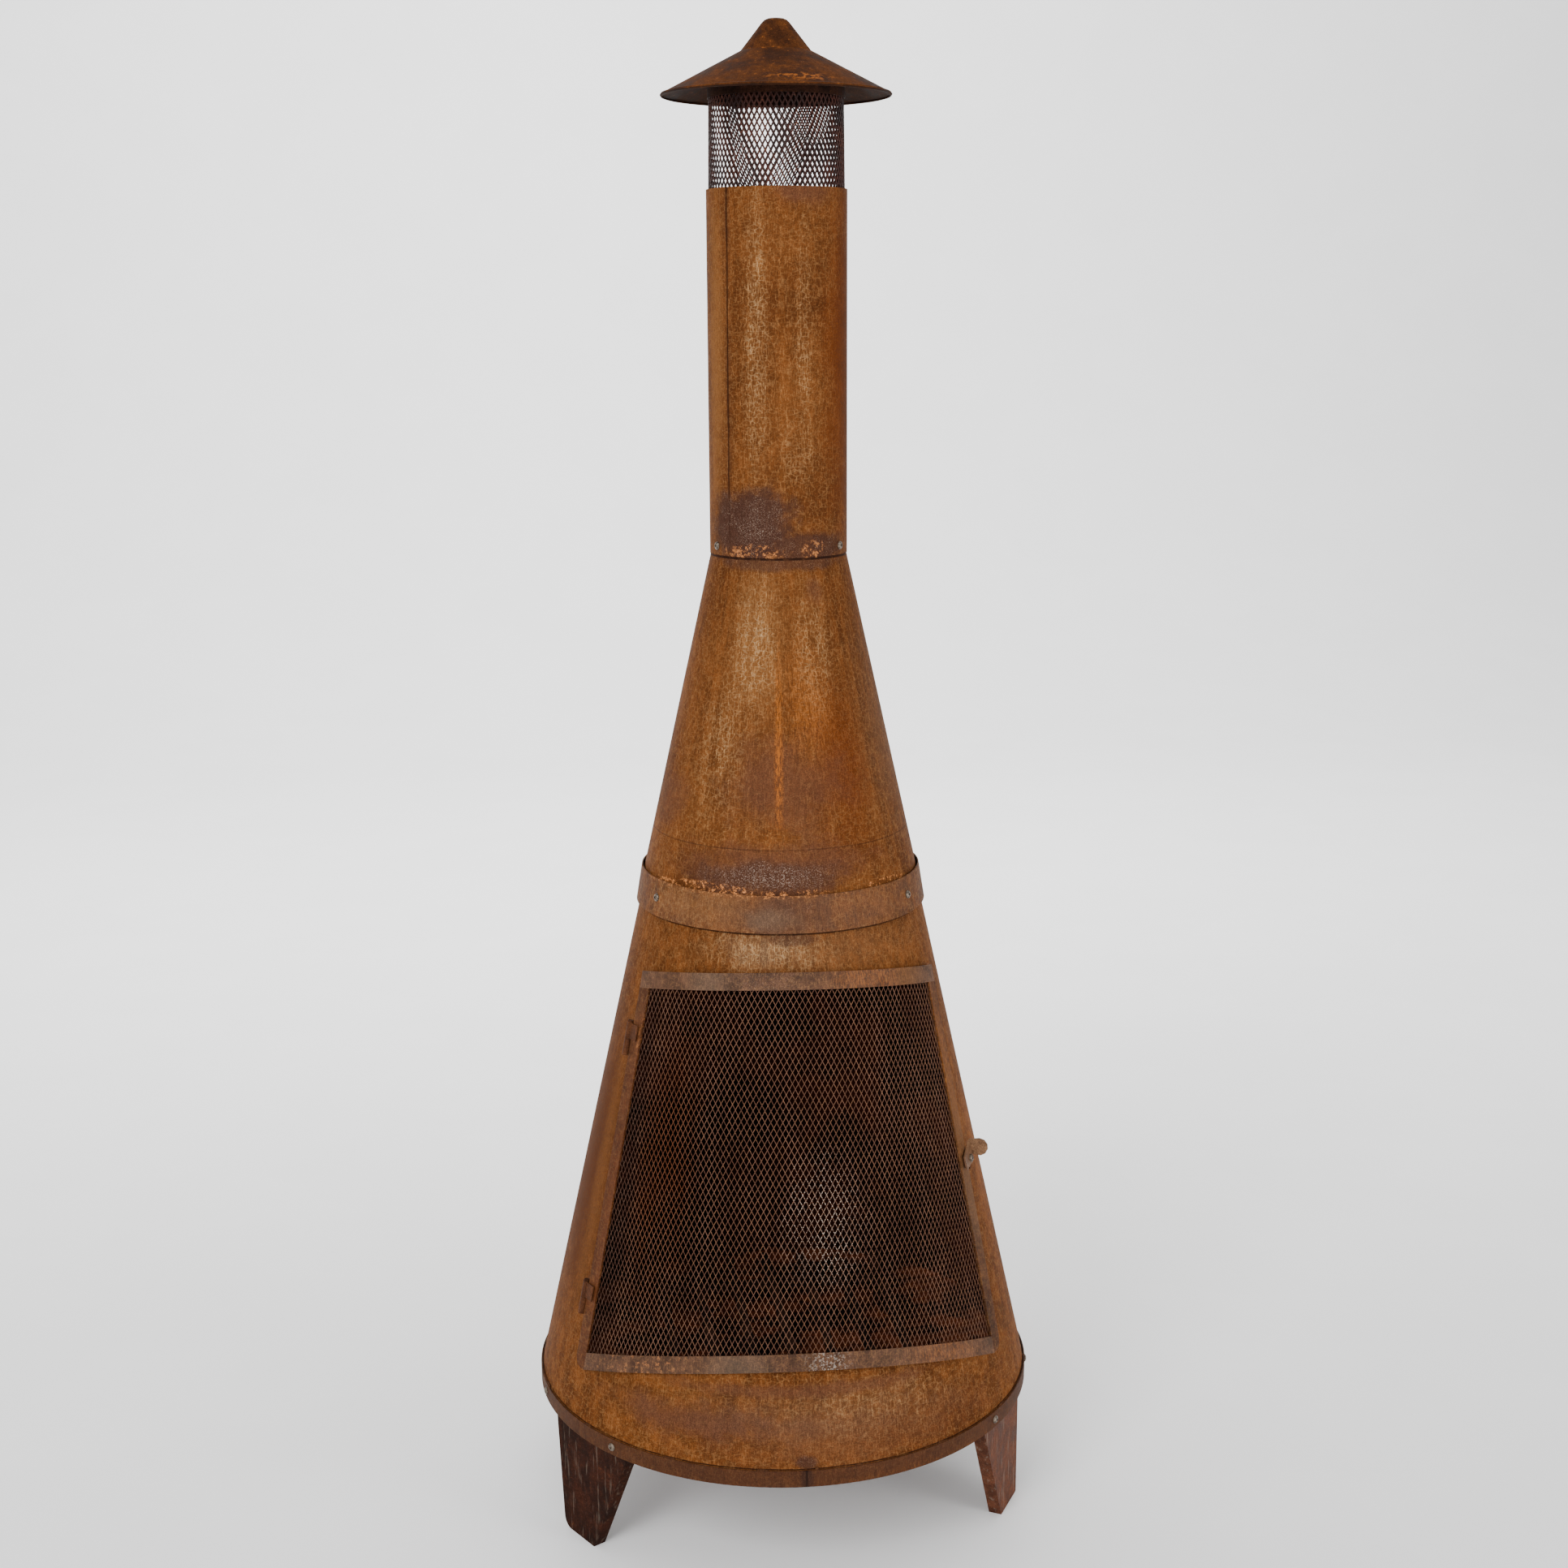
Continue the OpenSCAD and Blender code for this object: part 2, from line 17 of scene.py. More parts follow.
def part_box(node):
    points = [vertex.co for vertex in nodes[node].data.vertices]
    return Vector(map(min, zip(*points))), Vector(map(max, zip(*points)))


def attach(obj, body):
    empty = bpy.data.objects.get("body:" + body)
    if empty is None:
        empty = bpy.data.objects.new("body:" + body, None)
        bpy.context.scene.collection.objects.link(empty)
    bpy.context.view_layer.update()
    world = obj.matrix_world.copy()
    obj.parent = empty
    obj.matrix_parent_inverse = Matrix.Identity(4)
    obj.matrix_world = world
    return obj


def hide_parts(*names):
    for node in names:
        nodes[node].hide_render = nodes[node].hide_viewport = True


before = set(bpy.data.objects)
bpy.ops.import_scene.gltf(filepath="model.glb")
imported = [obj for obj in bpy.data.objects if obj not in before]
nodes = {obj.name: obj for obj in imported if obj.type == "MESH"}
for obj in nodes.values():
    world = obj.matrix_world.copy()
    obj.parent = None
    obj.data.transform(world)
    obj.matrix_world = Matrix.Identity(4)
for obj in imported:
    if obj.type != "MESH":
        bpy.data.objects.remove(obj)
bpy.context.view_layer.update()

MM = 0.001

# ---------------------------------------------------------------- proportions of the frame

RING_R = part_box("base_ring")[1][0]
RING_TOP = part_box("base_ring")[1][2]
BAND_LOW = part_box("mid_band")[0][2]
BAND_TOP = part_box("mid_band")[1][2]
PIPE_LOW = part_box("flue_pipe")[0][2]
PIPE_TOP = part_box("flue_pipe")[1][2]
PIPE_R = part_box("flue_pipe")[1][0]
RIM_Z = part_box("rain_cap")[0][2]
RING_STEP = 2.9 * MM  # from the ring's outside in to the foot of the lower cone
FOOT_R = RING_R - RING_STEP
CONE_SLOPE = 0.2238  # loss of the lower cone's radius per metre of height
CONE_LEAN = math.atan(CONE_SLOPE)
LAP_PHI = -51.5  # angle of the flue's lapped edge
BUTT_PHI = -2.5  # angle of the base ring's butt seam


def cone_radius(z):
    """Outer radius of the lower cone at a height."""
    return FOOT_R - CONE_SLOPE * (z - RING_TOP)


def around(radius, phi, z):
    """Point at an angle, in degrees, round the axis."""
    a = math.radians(phi)
    return Vector((radius * math.sin(a), -radius * math.cos(a), z))


# ---------------------------------------------------------------- shader graphs


class Graph:
    """Node tree of one material, with short calls for the nodes that the finishes share."""

    def __init__(self, name):
        self.material = bpy.data.materials.new(name)
        self.material.use_nodes = True
        self.tree = self.material.node_tree
        self.tree.nodes.clear()
        output = self.tree.nodes.new("ShaderNodeOutputMaterial")
        self.shader = self.tree.nodes.new("ShaderNodeBsdfPrincipled")
        self.tree.links.new(self.shader.outputs[0], output.inputs[0])
        coordinates = self.tree.nodes.new("ShaderNodeTexCoord")
        self.place = coordinates.outputs["Object"]
        self.x, self.y, self.z = self.split(self.place)
        self.off_axis = self.math("MAXIMUM", self.far(self.x, self.y), MM)
        self.phi = self.times(
            self.math("ARCTAN2", self.x, self.times(self.y, -1.0)), 180.0 / math.pi)
        normal = self.split(coordinates.outputs["Normal"])
        self.faces_up = normal[2]
        outward = self.math("MULTIPLY_ADD", self.x, normal[0], self.times(self.y, normal[1]))
        self.faces_out = self.math("DIVIDE", outward, self.off_axis)

    def split(self, vector):
        """The three parts of a vector."""
        node = self.tree.nodes.new("ShaderNodeSeparateXYZ")
        self.tree.links.new(vector, node.inputs[0])
        return node.outputs

    def feed(self, value, socket):
        """Link a socket's value, or set a constant, on an input."""
        if isinstance(value, bpy.types.NodeSocket):
            self.tree.links.new(value, socket)
        else:
            socket.default_value = value

    def math(self, operation, *values):
        node = self.tree.nodes.new("ShaderNodeMath")
        node.operation = operation
        for value, socket in zip(values, node.inputs):
            self.feed(value, socket)
        return node.outputs[0]

    def times(self, first, second):
        return self.math("MULTIPLY", first, second)

    def far(self, first, second):
        """Length of the two values at right angles to each other."""
        return self.math("SQRT", self.math(
            "ADD", self.math("POWER", first, 2.0), self.math("POWER", second, 2.0)))

    def vector(self, x, y, z):
        node = self.tree.nodes.new("ShaderNodeCombineXYZ")
        for value, socket in zip((x, y, z), node.inputs):
            self.feed(value, socket)
        return node.outputs[0]

    def noise(self, place, scale, detail=3.0, roughness=0.6, distortion=0.0):
        node = self.tree.nodes.new("ShaderNodeTexNoise")
        self.feed(place, node.inputs["Vector"])
        node.inputs["Scale"].default_value = scale
        node.inputs["Detail"].default_value = detail
        node.inputs["Roughness"].default_value = roughness
        node.inputs["Distortion"].default_value = distortion
        return node.outputs["Fac"]

    def web(self, place, scale):
        """Distance to the thin lines of a fine crackle."""
        node = self.tree.nodes.new("ShaderNodeTexVoronoi")
        node.feature = "DISTANCE_TO_EDGE"
        self.feed(place, node.inputs["Vector"])
        node.inputs["Scale"].default_value = scale
        return node.outputs["Distance"]

    def span(self, value, low, high, to_low=0.0, to_high=1.0):
        """Smooth change from to_low to to_high as value goes from low to high."""
        node = self.tree.nodes.new("ShaderNodeMapRange")
        node.interpolation_type = "SMOOTHSTEP"
        self.feed(value, node.inputs["Value"])
        node.inputs["From Min"].default_value = low
        node.inputs["From Max"].default_value = high
        node.inputs["To Min"].default_value = to_low
        node.inputs["To Max"].default_value = to_high
        return node.outputs["Result"]

    def mix(self, share, first, second):
        node = self.tree.nodes.new("ShaderNodeMix")
        node.data_type = "RGBA"
        self.feed(share, node.inputs["Factor"])
        colours = [s for s in node.inputs if s.type == "RGBA"]
        for value, socket in zip((first, second), colours):
            self.feed(value if isinstance(value, bpy.types.NodeSocket) else (*value, 1.0), socket)
        return [s for s in node.outputs if s.type == "RGBA"][0]

    def shade(self, colour, value):
        """Colour made lighter or darker by a factor."""
        node = self.tree.nodes.new("ShaderNodeVectorMath")
        node.operation = "SCALE"
        self.feed(colour, node.inputs[0])
        self.feed(value, node.inputs["Scale"])
        return node.outputs[0]

    def bump(self, height, strength, distance):
        node = self.tree.nodes.new("ShaderNodeBump")
        node.inputs["Strength"].default_value = strength
        node.inputs["Distance"].default_value = distance
        self.feed(height, node.inputs["Height"])
        self.tree.links.new(node.outputs["Normal"], self.shader.inputs["Normal"])

    def wrapped(self, radius, stretch):
        """Coordinates that run round the axis, with lengths along it divided by stretch."""
        scale = self.math("DIVIDE", radius, self.off_axis)
        return self.vector(
            self.times(self.x, scale), self.times(self.y, scale),
            self.math("DIVIDE", self.z, stretch))

    def zone(self, wobble, z, z_half, phi, phi_half, edge=0.35, ragged=1.6):
        """Mask of a ragged oval patch round a height and an angle.

        wobble is the noise that roughens its outline by ragged, and edge is how much of the
        way to its middle it fades in over."""
        up = self.math("DIVIDE", self.math("SUBTRACT", self.z, z), z_half)
        side = self.math("DIVIDE", self.math("SUBTRACT", self.phi, phi), phi_half)
        shift = self.math("MULTIPLY_ADD", wobble, ragged, -ragged / 2)
        rough = self.math("ADD", self.far(up, side), shift)
        return self.span(rough, 1.0, 1.0 - edge)


# ---------------------------------------------------------------- weathered steel
# Base colours are linear.

# The deepest rust, also laid as painted shade on the lower cone's left side and the flue's right
# side.
DEEP_RUST_AND_SHADE = (0.066, 0.0195, 0.0045)
RUST = (0.108, 0.0350, 0.0082)
RUST_WARM = (0.148, 0.0480, 0.0108)
RUST_RED = (0.105, 0.0235, 0.0035)
TAN = (0.168, 0.0670, 0.0190)
OCHRE = (0.320, 0.1600, 0.0600)
STRAW = (0.450, 0.3100, 0.1650)
ORANGE = (0.300, 0.0880, 0.0140)
FLAKE = (0.400, 0.1500, 0.0500)
VEIL = (0.082, 0.0320, 0.0170)
PLUM = (0.042, 0.0180, 0.0120)
ASH = (0.190, 0.1500, 0.1150)
# The next three colours are painted sheen, glints and glare; the glint colour also serves pale
# bare flecks.
SHEEN = (0.118, 0.0780, 0.0500)
BARE_AND_GLINT = (0.420, 0.3600, 0.3000)
GLARE = (0.620, 0.5400, 0.4600)
# Soot, also laid as painted shade on the rain cap's faces that look down.
SOOT_AND_SHADE = (0.006, 0.0030, 0.0022)
SCORCH = (0.034, 0.0080, 0.0035)
# Dark seams, and painted shade in the gaps where parts meet.
LINE = (0.014, 0.0050, 0.0030)
SHEET_TONES = (DEEP_RUST_AND_SHADE, RUST, RUST_WARM)
STRIP_TONES = ((0.040, 0.0165, 0.0084), (0.071, 0.0315, 0.0160), (0.090, 0.0405, 0.0205))
SIDE_TONES = ((0.036, 0.0120, 0.0045), (0.062, 0.0215, 0.0078), (0.078, 0.0270, 0.0095))


def rusted_sheet(name, radius, soot_and_shade=False, zones=(), lines=(), seam=None, level=1.0,
                 tones=SHEET_TONES, dash_share=0.22, shine=0.07, patchy=0.0, uneven=0.14):
    """Sealed rust on sheet steel: soft tone changes, faint runs down the wall, fine crackle.

    sooty says that the side which faces the axis is covered in soot. zones are ragged ovals,
    painted in order: the kind, the height, half-height, angle, half-angle and strength.
    lines are thin dark lines round the wall: the height, half-width and strength. seam is
    the angle of a dark upright seam, the height from which it shows and its half-width in
    degrees. level darkens the whole sheet, tones are its deep, common and warm rust, and
    dash_share is how far the fine pale dashes show. shine is the specular level. patchy is
    the strength of dark blotches, and uneven is how much finer mottling lightens and
    darkens the sheet."""
    g = Graph(name)
    flat = g.wrapped(radius, 1.0)
    dash_place = g.wrapped(radius, 5.5)
    run_place = g.wrapped(radius, 14.0)
    wobble = g.noise(flat, 30.0, 6.0, 0.68)
    tone = g.noise(flat, 9.0, 5.0, 0.60)
    mottle = g.noise(flat, 70.0, 5.0, 0.62)
    runs = g.noise(run_place, 80.0, 4.0, 0.62)
    dashes = g.noise(dash_place, 780.0, 4.0, 0.62)
    grain = g.noise(flat, 900.0, 3.0, 0.7)
    flake = g.noise(flat, 170.0, 6.0, 0.74)
    crackle = g.times(
        g.span(g.web(g.wrapped(radius, 0.60), 125.0), 0.14, 0.03), g.span(flake, 0.40, 0.58))

    def tinted(tint):
        return lambda colour, mask: g.mix(mask, colour, tint)

    def pale(colour, mask):
        mask = g.times(mask, g.span(runs, 0.36, 0.60, 0.35, 1.0))
        colour = g.mix(g.times(mask, 0.75), colour, TAN)
        colour = g.mix(g.times(mask, g.span(dashes, 0.47, 0.60)), colour, OCHRE)
        colour = g.mix(g.times(mask, g.times(crackle, 0.6)), colour, STRAW)
        return g.mix(g.times(mask, g.span(dashes, 0.60, 0.70, 0.0, 0.8)), colour, STRAW)

    def orange(colour, mask):
        mask = g.times(mask, g.span(dashes, 0.42, 0.60, 0.15, 1.0))
        return g.mix(mask, colour, ORANGE)

    def dark(colour, mask):
        speck = g.times(g.span(grain, 0.54, 0.68, 0.0, 0.6), g.span(mottle, 0.40, 0.62))
        return g.mix(mask, colour, g.mix(speck, PLUM, ASH))

    def chipped(low, high, contrast):
        def laid(colour, mask):
            chip = g.shade(FLAKE, g.span(grain, 0.35, 0.65, 1.0 - contrast, 1.0 + contrast))
            return g.mix(g.times(mask, g.span(flake, low, high)), colour, chip)
        return laid

    # Pale specks: painted highlight glints, such as those on the door mesh, and pale bare flecks.
    def glint(colour, mask):
        return g.mix(g.times(mask, g.span(grain, 0.52, 0.62)), colour, BARE_AND_GLINT)

    def glare(colour, mask):
        spot = g.noise(flat, 420.0, 3.0, 0.6)
        return g.mix(g.times(mask, g.span(spot, 0.53, 0.57)), colour, GLARE)

    # each kind: how it is laid, how softly its edge fades, how ragged its outline is
    paint = {"glint": (glint, 0.9, 0.8), "sheen": (tinted(SHEEN), 0.9, 1.0),
             "flecks": (chipped(0.555, 0.59, 0.3), 0.9, 1.0), "glare": (glare, 0.9, 0.8),
             "pale": (pale, 0.95, 0.8), "orange": (orange, 0.9, 0.8),
             "red": (tinted(RUST_RED), 0.9, 1.2), "deep": (tinted(DEEP_RUST_AND_SHADE), 0.9, 1.2),
             "tan": (tinted(TAN), 0.9, 1.2), "veil": (tinted(VEIL), 0.8, 1.4),
             "dark": (dark, 0.50, 1.3), "chips": (chipped(0.50, 0.58, 0.4), 0.4, 1.6)}
    colour = g.mix(g.span(tone, 0.34, 0.66), tones[0], tones[1])
    colour = g.mix(g.span(runs, 0.44, 0.64, 0.0, 0.40), colour, tones[2])
    colour = g.shade(colour, g.span(mottle, 0.34, 0.66, 1.0 - uneven, 1.0 + uneven))
    colour = g.mix(g.span(dashes, 0.53, 0.66, 0.0, dash_share), colour, OCHRE)
    colour = g.mix(g.times(crackle, 0.9 * dash_share), colour, OCHRE)
    if patchy:
        blotch = g.noise(flat, 38.0, 6.0, 0.66, 0.3)
        colour = g.mix(g.span(blotch, 0.50, 0.62, 0.0, patchy), colour, PLUM)
    for kind, z, z_half, phi, phi_half, strength in zones:
        laid, edge, ragged = paint[kind]
        mask = g.zone(wobble, z, z_half, phi, phi_half, edge, ragged)
        colour = laid(colour, g.times(mask, strength))
    colour = g.shade(colour, g.span(grain, 0.30, 0.70, 0.66, 1.34))
    colour = g.shade(colour, g.span(dashes, 0.30, 0.60, 0.84, 1.08))
    if seam is not None:
        angle, z_from, width = seam
        sway = g.math(
            "MULTIPLY_ADD", g.noise(run_place, 300.0, 2.0), 0.5 * width, -0.25 * width - angle)
        off = g.math("DIVIDE", g.math("ABSOLUTE", g.math("ADD", g.phi, sway)), width)
        shows = g.span(g.z, z_from, z_from + 0.04)
        stain = g.times(g.span(off, 1.0, 0.17), g.span(tone, 0.44, 0.62, 0.15, 0.75))
        colour = g.mix(g.times(stain, shows), colour, PLUM)
        line = g.times(g.span(off, 0.23, 0.05, 0.0, 0.65), shows)
        colour = g.mix(line, colour, LINE)
    # Thin dark lines round the wall, mostly painted shade along the gaps where parts meet.
    for z, z_half, strength in lines:
        lift = g.math("MULTIPLY_ADD", wobble, 0.002, -0.001 - z)
        off = g.math("ABSOLUTE", g.math("ADD", g.z, lift))
        broken = g.span(mottle, 0.36, 0.50, 0.5 * strength, strength)
        colour = g.mix(g.times(g.span(off, z_half, 0.4 * z_half), broken), colour, LINE)
    if level != 1.0:
        colour = g.shade(colour, level)
    if soot_and_shade:
        burnt = g.mix(g.span(tone, 0.40, 0.62), SOOT_AND_SHADE, SCORCH)
        colour = g.mix(g.span(g.faces_out, -0.10, -0.30), colour, burnt)
    g.feed(colour, g.shader.inputs["Base Color"])
    g.feed(g.span(grain, 0.3, 0.7, 0.55, 0.75), g.shader.inputs["Roughness"])
    g.shader.inputs["Specular IOR Level"].default_value = shine
    height = g.math("MULTIPLY_ADD", dashes, 0.7, grain)
    g.bump(g.math("MULTIPLY_ADD", tone, 2.5, height), 0.30, 0.0006)
    return g.material


def dark_scale(name, base, edge, chip_share=0.25, specks=0.4, rough=0.6, shine=0.15,
               streaks=0.0, soot_and_shade=False, flecks=None):
    """Dark brown scale on strips, legs and small parts, with worn and chipped places.

    base and edge are its two browns. chip_share and specks are how far orange chips and
    pale specks show, and streaks is the same for pale upright scuffs. The soot flag darkens
    faces that look down towards soot: soot, and painted shade under them. flecks is a patch
    of orange chips, or None: its height, half-height, angle, half-angle and strength."""
    g = Graph(name)
    tone = g.noise(g.place, 26.0, 5.0, 0.65)
    fine = g.noise(g.place, 620.0, 4.0, 0.7)
    flake = g.noise(g.place, 150.0, 6.0, 0.72)
    long_place = g.vector(g.x, g.y, g.math("DIVIDE", g.z, 8.0))
    runs = g.noise(long_place, 210.0, 4.0, 0.62)
    colour = g.mix(g.span(tone, 0.38, 0.62), base, edge)
    colour = g.shade(colour, g.span(fine, 0.32, 0.68, 0.65, 1.35))
    colour = g.shade(colour, g.span(flake, 0.34, 0.66, 0.80, 1.20))
    colour = g.mix(g.span(runs, 0.55, 0.68, 0.0, streaks), colour, ASH)
    colour = g.mix(g.span(fine, 0.62, 0.72, 0.0, specks), colour, ASH)
    colour = g.mix(g.span(flake, 0.62, 0.66, 0.0, chip_share), colour, ORANGE)
    if flecks is not None:
        patch = g.times(g.zone(tone, *flecks[:4], edge=0.9, ragged=0.8), flecks[4])
        colour = g.mix(g.times(patch, g.span(flake, 0.50, 0.56)), colour, ORANGE)
    # Faces that look down are darkened towards soot: soot, and painted shade under the rain cap.
    if soot_and_shade:
        colour = g.mix(g.span(g.faces_up, 0.0, -0.15, 0.0, 0.72), colour, SOOT_AND_SHADE)
    g.feed(colour, g.shader.inputs["Base Color"])
    g.feed(g.span(tone, 0.3, 0.7, rough - 0.1, rough + 0.1), g.shader.inputs["Roughness"])
    g.shader.inputs["Specular IOR Level"].default_value = shine
    g.bump(g.math("MULTIPLY_ADD", tone, 2.0, fine), 0.4, 0.0005)
    return g.material


def weathered_screw(name):
    """Dull plated steel with patches of brown bloom."""
    g = Graph(name)
    tone = g.noise(g.place, 500.0, 4.0, 0.6)
    colour = g.mix(g.span(tone, 0.38, 0.62), (0.185, 0.145, 0.108), (0.040, 0.026, 0.017))
    g.feed(colour, g.shader.inputs["Base Color"])
    g.feed(g.span(tone, 0.3, 0.7, 0.35, 0.6), g.shader.inputs["Roughness"])
    g.shader.inputs["Metallic"].default_value = 0.6
    g.bump(tone, 0.25, 0.0002)
    return g.material


def sooty_iron(name, bare):
    """Iron that has stood in fires, with soot worn off in places."""
    g = Graph(name)
    tone = g.noise(g.place, 16.0, 6.0, 0.65)
    colour = g.mix(g.span(tone, 0.44, 0.66), SOOT_AND_SHADE, bare)
    g.feed(colour, g.shader.inputs["Base Color"])
    g.shader.inputs["Roughness"].default_value = 0.8
    g.shader.inputs["Specular IOR Level"].default_value = 0.1
    g.bump(tone, 0.5, 0.0008)
    return g.material


# ---------------------------------------------------------------- finishes of the pieces
# A zone is a kind, a height, half-height, angle, half-angle and strength.

# On the flue, the pale zone at -25 degrees paints a highlight band, the deep zone at 86 degrees
# paints shade on its right side, and its line is painted shade in the gap at its foot.
pipe_steel = rusted_sheet(
    "pipe_rust", 0.08, soot_and_shade=True, shine=0.03,
    zones=[("red", 1.40, 0.26, 62, 40, 0.85), ("deep", 1.38, 0.34, 86, 52, 0.95),
           ("tan", 1.40, 0.26, -68, 18, 0.8), ("pale", 1.42, 0.22, -25, 14, 0.62),
           ("pale", 1.44, 0.17, 14, 10, 0.38), ("pale", 1.30, 0.06, 10, 20, 0.3),
           ("pale", 1.40, 0.20, 140, 24, 0.5), ("deep", 1.45, 0.14, -130, 30, 0.6),
           ("dark", PIPE_LOW + 0.036, 0.055, -32, 54, 0.92),
           ("glint", PIPE_LOW + 0.036, 0.030, -26, 26, 0.14),
           ("dark", PIPE_LOW + 0.012, 0.026, 14, 60, 0.8),
           ("dark", PIPE_LOW + 0.02, 0.04, 140, 34, 0.8),
           ("veil", PIPE_TOP - 0.002, 0.030, 14, 40, 0.7),
           ("chips", PIPE_LOW + 0.006, 0.011, -26, 34, 0.7),
           ("chips", PIPE_LOW + 0.009, 0.016, 22, 13, 0.7),
           ("chips", PIPE_LOW + 0.006, 0.010, 130, 40, 0.7)],
    lines=[(PIPE_LOW, 1.2 * MM, 0.8)], seam=(LAP_PHI, PIPE_LOW + 0.05, 6.0))
# On the upper cone, the tan and pale zones at -22 and -24 degrees are golden streaks with a
# painted highlight on the front left, the sheen zones paint sheen, and the second line is painted
# shade in the gap at the flue's foot.
upper_steel = rusted_sheet(
    "upper_rust", 0.12, soot_and_shade=True, shine=0.03,
    zones=[("red", 0.95, 0.14, 26, 26, 0.6), ("sheen", 0.97, 0.18, 62, 34, 0.20),
           ("tan", 1.09, 0.12, -22, 26, 0.55), ("pale", 1.09, 0.11, -24, 22, 0.55),
           ("pale", 1.08, 0.10, 16, 18, 0.40), ("pale", 0.96, 0.12, -40, 20, 0.30),
           ("veil", 0.93, 0.08, -4, 44, 0.65), ("veil", 0.90, 0.05, -70, 20, 0.5),
           ("orange", 0.97, 0.16, -8, 3.0, 0.8), ("orange", 1.02, 0.10, 8, 20, 0.35),
           ("pale", 1.02, 0.14, 150, 20, 0.6), ("deep", 0.98, 0.14, -120, 24, 0.7),
           ("veil", BAND_TOP + 0.03, 0.04, -12, 60, 0.7),
           ("dark", BAND_TOP + 0.014, 0.028, -12, 40, 0.60),
           ("glint", BAND_TOP + 0.02, 0.02, -12, 34, 0.26),
           ("dark", BAND_TOP + 0.014, 0.028, 130, 34, 0.75),
           ("dark", PIPE_LOW - 0.004, 0.014, -5, 75, 0.65),
           ("veil", 1.145, 0.022, 20, 11, 0.5),
           ("chips", BAND_TOP + 0.002, 0.008, -38, 34, 1.0),
           ("chips", BAND_TOP + 0.001, 0.006, 40, 22, 0.9),
           ("chips", BAND_TOP + 0.002, 0.007, 140, 36, 0.9),
           ("chips", BAND_TOP + 0.0, 0.006, 0, 16, 0.9)],
    lines=[(0.857, 0.9 * MM, 0.45), (PIPE_LOW - 1.0 * MM, 1.8 * MM, 0.9)])
band_steel = rusted_sheet(
    "band_rust", 0.17, soot_and_shade=True, patchy=0.45, dash_share=0.30, uneven=0.30,
    zones=[("pale", 0.79, 0.04, -50, 30, 0.25), ("orange", 0.79, 0.03, 30, 30, 0.15),
           ("veil", BAND_LOW + 0.02, 0.04, 0, 90, 0.4), ("tan", 0.79, 0.03, -40, 40, 0.4),
           ("veil", 0.79, 0.04, 140, 30, 0.6), ("sheen", 0.79, 0.06, 10, 110, 0.14),
           ("dark", BAND_LOW + 0.02, 0.03, -8, 22, 0.40),
           ("sheen", BAND_LOW + 0.015, 0.02, -12, 16, 0.4),
           ("chips", BAND_TOP - 0.001, 0.003, -30, 60, 0.5)])
# On the lower cone, the pale and sheen zones at 0.745 m paint a highlight under the band, the pale
# zone at 0.225 m is pale crackle with painted light, and the deep zone at -80 degrees paints shade
# on its left side. Its two lines are painted shadow in the gaps under the band and above the ring.
lower_steel = rusted_sheet(
    "lower_rust", 0.23, soot_and_shade=True, shine=0.02, uneven=0.24,
    zones=[("deep", 0.45, 0.30, -80, 28, 0.95), ("sheen", 0.745, 0.03, -14, 22, 0.4),
           ("pale", 0.745, 0.035, -14, 34, 0.6), ("pale", 0.225, 0.050, 14, 34, 0.24),
           ("sheen", 0.745, 0.05, 10, 70, 0.14), ("tan", 0.45, 0.22, -72, 6, 0.35),
           ("veil", 0.20, 0.05, 10, 60, 0.45),
           ("pale", 0.5, 0.2, 140, 20, 0.5), ("veil", 0.215, 0.03, -28, 36, 0.75),
           ("sheen", 0.23, 0.05, 0, 50, 0.14), ("orange", 0.42, 0.26, 72, 9, 0.30),
           ("veil", 0.255, 0.012, 0, 50, 0.6), ("veil", 0.46, 0.12, -120, 24, 0.6),
           ("dark", 0.62, 0.035, -66, 4.5, 0.6), ("dark", 0.31, 0.035, -66, 3.5, 0.6),
           ("dark", RING_TOP + 0.008, 0.010, BUTT_PHI, 3.5, 0.8),
           ("dark", RING_TOP + 0.012, 0.014, 130, 30, 0.7),
           ("dark", BAND_LOW - 0.008, 0.010, -4, 14, 0.6)],
    lines=[(BAND_LOW - 1.5 * MM, 2.2 * MM, 0.8), (RING_TOP + 0.6 * MM, 1.0 * MM, 0.9)])
ring_steel = rusted_sheet(
    "ring_rust", 0.30, soot_and_shade=True, uneven=0.24,
    zones=[("veil", RING_TOP - 0.01, 0.03, 0, 170, 0.6),
           ("orange", RING_TOP - 0.02, 0.012, 30, 40, 0.2),
           ("dark", RING_TOP - 0.01, 0.02, BUTT_PHI, 2.0, 0.5)],
    level=0.58, seam=(BUTT_PHI, RING_TOP - 0.08, 1.6))
# Its faces that look down are darkened: soot, and painted shade under the rim.
cap_steel = dark_scale("cap_scale", (0.034, 0.0105, 0.0030), (0.080, 0.0250, 0.0060), 0.55, 0.12,
                       rough=0.75, shine=0.06, soot_and_shade=True,
                       flecks=(RIM_Z + 0.011, 0.007, 6, 27, 0.9))
